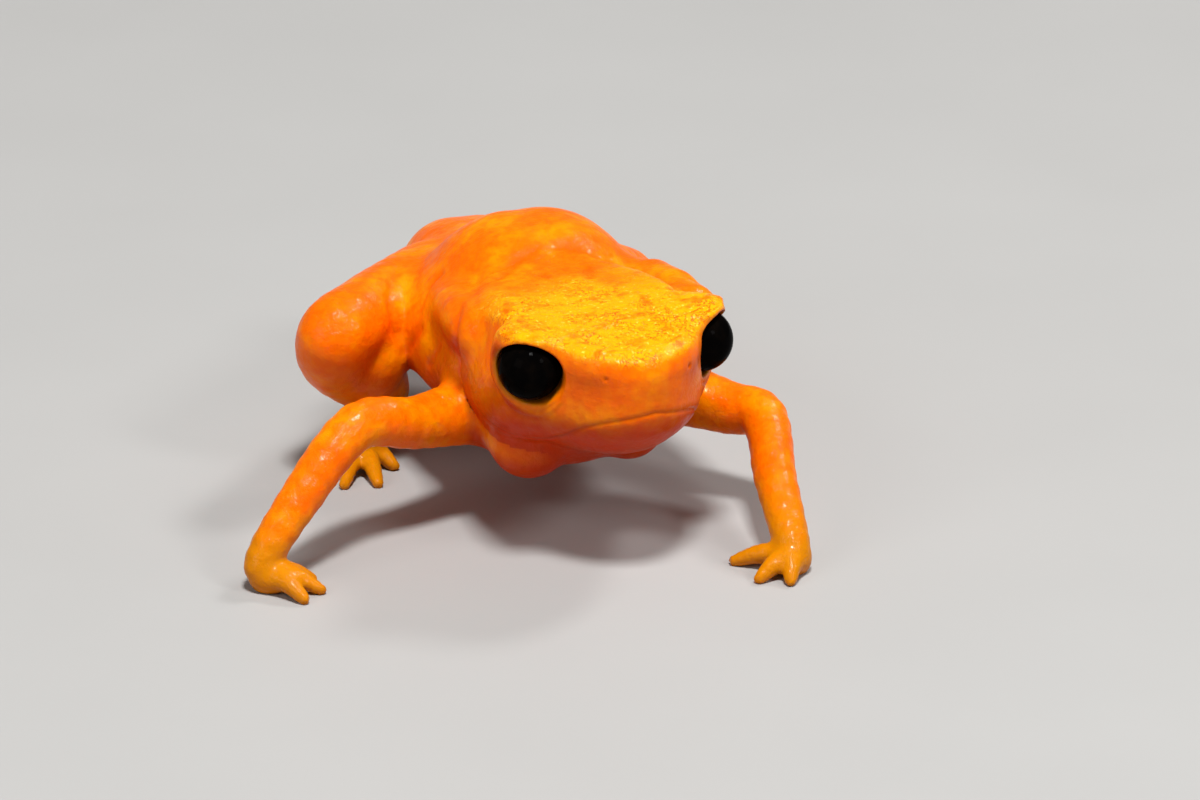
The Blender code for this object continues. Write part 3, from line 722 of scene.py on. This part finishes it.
def head_masks(points, normals):
    """The share of each marking of the head at each point."""
    folded = fold(to_head(points))
    inside = near(points, HEAD_LOW, HEAD_HIGH, head_distance) < FINE_SHELL
    mouth, along = line_distance(folded, head_line(MOUTH_BEARINGS, MOUTH_HEIGHTS))
    mouth = np.where(inside, mouth, FAR)
    mouth_fade = 1 - smooth_step(*MOUTH_FADE, along)
    rim, along = line_distance(folded, head_line(RIM_BEARINGS, RIM_HEIGHTS))
    rim_fade = 1 - smooth_step(*RIM_FADE, along)
    nostril = np.linalg.norm(folded - on_head([NOSTRIL_BEARING], [NOSTRIL_HEIGHT]), axis=1)
    eye_reach = np.linalg.norm(folded - EYE, axis=1)
    lower = smooth_step(*LOWER_FACE_SHADE, ragged(folded[:, 2], points, *LOWER_FACE_NOISE))
    return {
        "crown": crown_mask(points, normals, folded) * inside,
        "lid": (1 - smooth_step(*LID_REACH, eye_reach)) * inside,
        "mouth": hump(mouth, MOUTH_WIDTH) * mouth_fade,
        "lips": hump(mouth - LIP_REACH, LIP_WIDTH) * mouth_fade,
        "nostril": hump(nostril, NOSTRIL_WIDTH),
        "folds": eye_folds(folded) * inside,
        "rim": hump(rim, RIM_WIDTH) * rim_fade,
        # Deep red painted shade on the lower face.
        "lower": lower * inside,
    }


def crease_mask(points):
    """The folds of the skin, which fade out at both ends."""
    folded = fold(points)
    crease = np.zeros(len(points))
    for line in crease_lines():
        reach, share = line_distance(folded, line)
        ends = smooth_step(0, CREASE_END, share) * smooth_step(1, 1 - CREASE_END, share)
        crease = np.maximum(crease, hump(reach, CREASE_WIDTH) * ends)
    return crease


def shaded_underside_mask(points, normals):
    """Skin that faces down, where the deep red painted shade goes; it shows far less on the limbs than
    on head and torso.
    """
    under = smooth_step(*UNDER_TILT, ragged(normals[:, 2], points, *UNDER_NOISE))
    core = np.minimum(torso_distance(points), near(points, HEAD_LOW, HEAD_HIGH, head_distance))
    return under * (UNDER_ON_LIMBS + (1 - UNDER_ON_LIMBS) * smooth_step(*CORE_EDGE, core))


def body_masks(points, normals):
    """The share of each marking of the whole body at each point."""
    return {
        # Skin facing down, which takes the deep red painted shade.
        "under": shaded_underside_mask(points, normals),
        "crease": crease_mask(points),
        "amber": smooth_step(*AMBER_LEVEL, ragged(points[:, 2], points, *AMBER_NOISE)),
    }


def relief(points, masks):
    """How far the skin stands above the plain forms at each point."""
    x, y, _ = points.T
    height = sum(strength * lumps(points, size) for strength, size in SKIN_LUMPS)
    height *= 1 - CROWN_EVENNESS * masks["crown"]
    strength, size = CROWN_LUMPS
    height += strength * masks["crown"] * lumps(points, size)
    for name, change in RELIEF.items():
        height += change * masks[name]
    spine = hump(x - SPINE_SIDE, SPINE_WIDTH) * smooth_step(*SPINE_START, y)
    height -= SPINE_DEPTH * spine * (1 - masks["under"])
    return height * (1 - masks["lid"])


def make_skin():
    """The whole skin, whose masks are kept as values of its corners."""
    skin = rough_flesh()
    remesh(skin, ROUGH_VOXEL)
    cut_sockets(skin)
    remesh(skin, VOXEL)
    move_corners(skin, settle(read_corners(skin), BODY_PASSES))
    refine_head(skin)
    points = read_corners(skin)
    normals = read_corners(skin, "normal")
    masks = {**head_masks(points, normals), **body_masks(points, normals)}
    points += normals * relief(points, masks)[:, None]
    points[:, 2] = np.maximum(points[:, 2], 0)
    move_corners(skin, points)
    for name, values in masks.items():
        attribute = skin.data.attributes.new(name, "FLOAT", "POINT")
        attribute.data.foreach_set("value", values.astype(np.float32))
    skin.data.shade_smooth()
    return skin


def make_eye(side):
    bm = bmesh.new()
    place = Matrix.Translation(head_place(side) @ Vector(EYE))
    bmesh.ops.create_uvsphere(bm, u_segments=EYE_FACES[0], v_segments=EYE_FACES[1], radius=EYE_RADIUS,
                              matrix=place)
    eye = object_from(bm, f"{side}_eyeball")
    eye.data.shade_smooth()
    return eye


def place_on_body(item):
    """Moves a finished piece from the animal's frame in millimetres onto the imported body."""
    low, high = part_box("eye_left")
    packed = (low + high) / 2
    own = HEAD_FRAME @ Vector(EYE)
    matrix = Matrix.Translation(packed) @ Matrix.Scale(METRES_PER_MM, 4) @ Matrix.Translation(-own)
    item.data.transform(matrix)
    return matrix


class Shading:
    """Node builder for one material: inputs are plain values, or sockets to link."""

    def __init__(self, name):
        self.material = bpy.data.materials.new(name)
        self.material.use_nodes = True
        self.tree = self.material.node_tree
        self.surface = self.tree.nodes["Principled BSDF"]
        place = self.add("ShaderNodeTexCoord").outputs["Object"]
        inputs = {0: place, "Scale": 1 / METRES_PER_MM}
        self.place = self.add("ShaderNodeVectorMath", inputs, operation="SCALE").outputs["Vector"]

    def set_inputs(self, node, inputs):
        for key, value in inputs.items():
            if isinstance(value, bpy.types.NodeSocket):
                self.tree.links.new(value, node.inputs[key])
            else:
                node.inputs[key].default_value = value

    def add(self, kind, inputs=None, **settings):
        node = self.tree.nodes.new(kind)
        for name, value in settings.items():
            setattr(node, name, value)
        self.set_inputs(node, inputs or {})
        return node

    def noise(self, size, detail=2.0, roughness=0.5):
        """Noise from 0 to 1 with features of the given size in millimetres."""
        inputs = {"Vector": self.place, "Scale": 1 / size, "Detail": detail, "Roughness": roughness}
        return self.add("ShaderNodeTexNoise", inputs).outputs["Fac"]

    def ramp(self, value, low, high):
        inputs = {"Value": value, "From Min": low, "From Max": high}
        return self.add("ShaderNodeMapRange", inputs, interpolation_type="SMOOTHSTEP").outputs["Result"]

    def pattern(self, name):
        """One of the named noise patterns, from 0 to 1."""
        size, detail, low, high = PATTERNS[name]
        return self.ramp(self.noise(size, detail), low, high)

    def math(self, operation, first, second=0.0):
        return self.add("ShaderNodeMath", {0: first, 1: second}, operation=operation).outputs["Value"]

    def scaled(self, value, factor):
        return self.math("MULTIPLY", value, factor)

    def mix(self, share, first, second):
        node = self.add("ShaderNodeMix", {0: share, 6: first, 7: second}, data_type="RGBA")
        return node.outputs[2]

    def mask(self, name):
        return self.add("ShaderNodeAttribute", attribute_name=name).outputs["Fac"]

    def bump(self, height, distance, strength, below=None):
        """Fine relief of the given depth in millimetres, on top of the bump below it, if any."""
        inputs = {"Height": height, "Distance": distance * METRES_PER_MM, "Strength": strength}
        if below is not None:
            inputs["Normal"] = below
        return self.add("ShaderNodeBump", inputs).outputs["Normal"]


ORANGE = (0.9, 0.155, 0.0, 1)
RED_ORANGE = (0.86, 0.09, 0.0, 1)
YELLOW_ORANGE = (0.95, 0.26, 0.0, 1)
GOLD = (1.0, 0.38, 0.001, 1)
PALE_GOLD = (1.0, 0.62, 0.06, 1)
CROWN_BROWN = (0.72, 0.1, 0.0, 1)
# Painted shade on skin that faces down and on the lower face.
SHADE_RED = (0.44, 0.01, 0.0, 1)
AMBER = (0.62, 0.2, 0.001, 1)
LID_GREEN = (0.36, 0.15, 0.004, 1)
# Painted shade in the grooves of mouth and nostrils.
GROOVE_SHADE = (0.16, 0.012, 0.002, 1)
EYE_BLACKS = ((0.0012, 0.001, 0.001, 1), (0.003, 0.002, 0.0015, 1))
FLOOR_GREYS = ((0.4, 0.395, 0.385, 1), (0.42, 0.415, 0.405, 1))

# Noise patterns: feature size in millimetres, detail, and the levels between which each fades in.
PATTERNS = {
    "patches": (1.4, 3.0, 0.42, 0.68),
    "freckles": (0.3, 3.0, 0.38, 0.66),
    "flecks": (0.1, 1.0, 0.62, 0.74),
    "blotches": (0.7, 2.0, 0.4, 0.6),
    "gilding": (0.5, 3.0, 0.25, 0.5),
    "pores": (0.25, 2.0, 0.3, 0.7),
    "eye_cloud": (0.5, 2.0, 0.4, 0.7),
}

# Plain noise: feature size in millimetres and detail.
EYE_RIPPLE = (0.12, 1.0)
FLOOR_CLOUD = (9.0, 3.0)
FLOOR_GRAIN = (0.4, 3.0)

# The crown's fine network: size, detail and roughness of its noise, and its half width in levels.
WORMS = (0.16, 2.0, 0.55)
NETWORK_WIDTH = 0.055
NETWORK_DEPTH = 0.3

# Shares of the colours where their masks are 1.
FRECKLE_SHARE = 0.4
# Share of the redder painted shade in creases.
CREASE_SHADE_SHARE = 0.55
# Share of the deep red painted shade below.
UNDER_SHADE_SHARE = 0.85
LID_SHARE = 0.7
# Share of the painted shade in the grooves.
GROOVE_SHADE_SHARE = 0.2

# Depth in millimetres and strength of each bump, and the grain of the body beside the crown's.
GRAIN_BUMP = (0.03, 0.7)
PORE_BUMP = (0.02, 0.6)
EYE_BUMP = (0.001, 0.2)
FLOOR_BUMP = (0.02, 0.2)
BODY_GRAIN = 0.5

# Lowest roughness of each surface, and how much its pattern adds.
SKIN_ROUGHNESS = (0.34, 0.14)
EYE_ROUGHNESS = (0.08, 0.04)
FLOOR_ROUGHNESS = (0.6, 0.1)


def rough_by(shading, pattern, lowest, added):
    return shading.math("ADD", shading.scaled(pattern, added), lowest)


def skin_colour(shading):
    """Orange in soft patches, deep red painted shade below and redder painted shade in creases, amber on
    hands and feet.
    """
    colour = shading.mix(shading.pattern("patches"), ORANGE, YELLOW_ORANGE)
    colour = shading.mix(shading.scaled(shading.pattern("freckles"), FRECKLE_SHARE), colour, RED_ORANGE)
    # Redder painted shade in the creases.
    colour = shading.mix(shading.scaled(shading.mask("crease"), CREASE_SHADE_SHARE), colour, RED_ORANGE)
    colour = shading.mix(shading.mask("amber"), colour, AMBER)
    # Deep red painted shade on skin that faces down and on the lower face.
    under = shading.math("MAXIMUM", shading.mask("under"), shading.mask("lower"))
    return shading.mix(shading.scaled(under, UNDER_SHADE_SHARE), colour, SHADE_RED)


def crown_colour(shading, network):
    """Gold, with a brownish network in blotches and pale flecks."""
    gold = shading.mix(shading.math("MULTIPLY", network, shading.pattern("blotches")), GOLD, CROWN_BROWN)
    return shading.mix(shading.pattern("flecks"), gold, PALE_GOLD)


def skin_material():
    """Moist orange skin with a gold crown, greenish lids, painted shade below, in creases and in the
    grooves, and a thin wet coat.
    """
    shading = Shading("orange_skin")
    worms = shading.noise(*WORMS)
    network = shading.math("ABSOLUTE", shading.math("SUBTRACT", worms, 0.5))
    network = shading.ramp(network, NETWORK_WIDTH, 0.0)

    crown = shading.math("MULTIPLY", shading.mask("crown"), shading.pattern("gilding"))
    colour = shading.mix(crown, skin_colour(shading), crown_colour(shading, network))
    colour = shading.mix(shading.scaled(shading.mask("lid"), LID_SHARE), colour, LID_GREEN)
    # Painted shade in the grooves of mouth and nostrils.
    groove = shading.math("MAXIMUM", shading.mask("mouth"), shading.mask("nostril"))
    colour = shading.mix(shading.scaled(groove, GROOVE_SHADE_SHARE), colour, GROOVE_SHADE)

    grain = shading.math("SUBTRACT", worms, shading.scaled(network, NETWORK_DEPTH))
    grain = shading.math("MULTIPLY", grain, shading.math("ADD", shading.mask("crown"), BODY_GRAIN))
    pores = shading.pattern("pores")
    normal = shading.bump(pores, *PORE_BUMP, below=shading.bump(grain, *GRAIN_BUMP))
    shading.set_inputs(shading.surface, {
        "Base Color": colour,
        "Roughness": rough_by(shading, pores, *SKIN_ROUGHNESS),
        "Normal": normal,
        "Subsurface Weight": 0.12,
        "Subsurface Radius": (1.0, 0.25, 0.05),
        "Subsurface Scale": 0.3 * METRES_PER_MM,
        "Specular IOR Level": 0.03,
        "Coat Weight": 0.28,
        "Coat Roughness": 0.1,
        "Coat IOR": 1.4,
        "Coat Normal": normal,
    })
    return shading.material


def eye_material():
    shading = Shading("black_eye")
    cloud = shading.pattern("eye_cloud")
    shading.set_inputs(shading.surface, {
        "Base Color": shading.mix(cloud, *EYE_BLACKS),
        "Roughness": rough_by(shading, cloud, *EYE_ROUGHNESS),
        "Normal": shading.bump(shading.noise(*EYE_RIPPLE), *EYE_BUMP),
        "Specular IOR Level": 0.004,
    })
    return shading.material


def floor_material():
    shading = Shading("pale_floor")
    cloud = shading.noise(*FLOOR_CLOUD)
    shading.set_inputs(shading.surface, {
        "Base Color": shading.mix(cloud, *FLOOR_GREYS),
        "Roughness": rough_by(shading, cloud, *FLOOR_ROUGHNESS),
        "Normal": shading.bump(shading.noise(*FLOOR_GRAIN), *FLOOR_BUMP),
    })
    return shading.material


def make_stage():
    """The plain floor and the even light of the room."""
    bm = bmesh.new()
    bmesh.ops.create_circle(bm, cap_ends=True, segments=FLOOR_FACES, radius=FLOOR_RADIUS)
    floor = object_from(bm, "floor")
    floor.data.materials.append(floor_material())
    world = bpy.data.worlds.new("studio")
    bpy.context.scene.world = world
    world.use_nodes = True
    background = world.node_tree.nodes["Background"]
    background.inputs["Color"].default_value = STUDIO_COLOUR
    background.inputs["Strength"].default_value = STUDIO_STRENGTH


def toward(azimuth, elevation):
    """The direction at a bearing, from straight ahead of the body to its left, and a height."""
    turn = math.radians(azimuth)
    rise = math.radians(elevation)
    return Vector((math.sin(turn) * math.cos(rise), -math.cos(turn) * math.cos(rise), math.sin(rise)))


def make_light(name, azimuth, elevation, size, power, target):
    """A square soft box that faces the target from the given bearing and height."""
    way = toward(azimuth, elevation)
    light = bpy.data.lights.new(name, "AREA")
    light.size = size
    light.energy = power
    item = bpy.data.objects.new(name, light)
    item.location = target + way * LIGHT_DISTANCE
    item.rotation_euler = way.to_track_quat("Z", "Y").to_euler()
    bpy.context.scene.collection.objects.link(item)


def make_camera(target):
    """A long lens that looks down on the face at the photograph's angle."""
    way = toward(CAMERA_AZIMUTH, CAMERA_ELEVATION)
    camera = bpy.data.cameras.new("camera")
    camera.lens = CAMERA_LENS
    camera.sensor_width = SENSOR_WIDTH
    camera.clip_start, camera.clip_end = CAMERA_CLIP
    item = bpy.data.objects.new("camera", camera)
    item.location = target + way * CAMERA_DISTANCE * METRES_PER_MM
    item.rotation_euler = way.to_track_quat("Z", "Y").to_euler()
    bpy.context.scene.collection.objects.link(item)
    bpy.context.scene.camera = item


def main():
    skin = make_skin()
    eyes = {side: make_eye(side) for side in SIDES}
    to_metres = place_on_body(skin)
    skin.data.materials.append(skin_material())
    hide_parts(*[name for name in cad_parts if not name.startswith("eye_")])
    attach(skin, "root")
    black = eye_material()
    for side, eye in eyes.items():
        place_on_body(eye)
        eye.data.materials.append(black)
        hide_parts(f"eye_{side}")
        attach(eye, "root")
    make_stage()
    target = to_metres @ Vector(CAMERA_TARGET)
    make_camera(target)
    for name, (azimuth, elevation, size, power) in LIGHTS.items():
        make_light(name, azimuth, elevation, size, power, target)
    bpy.context.scene.view_settings.view_transform = "Standard"


main()
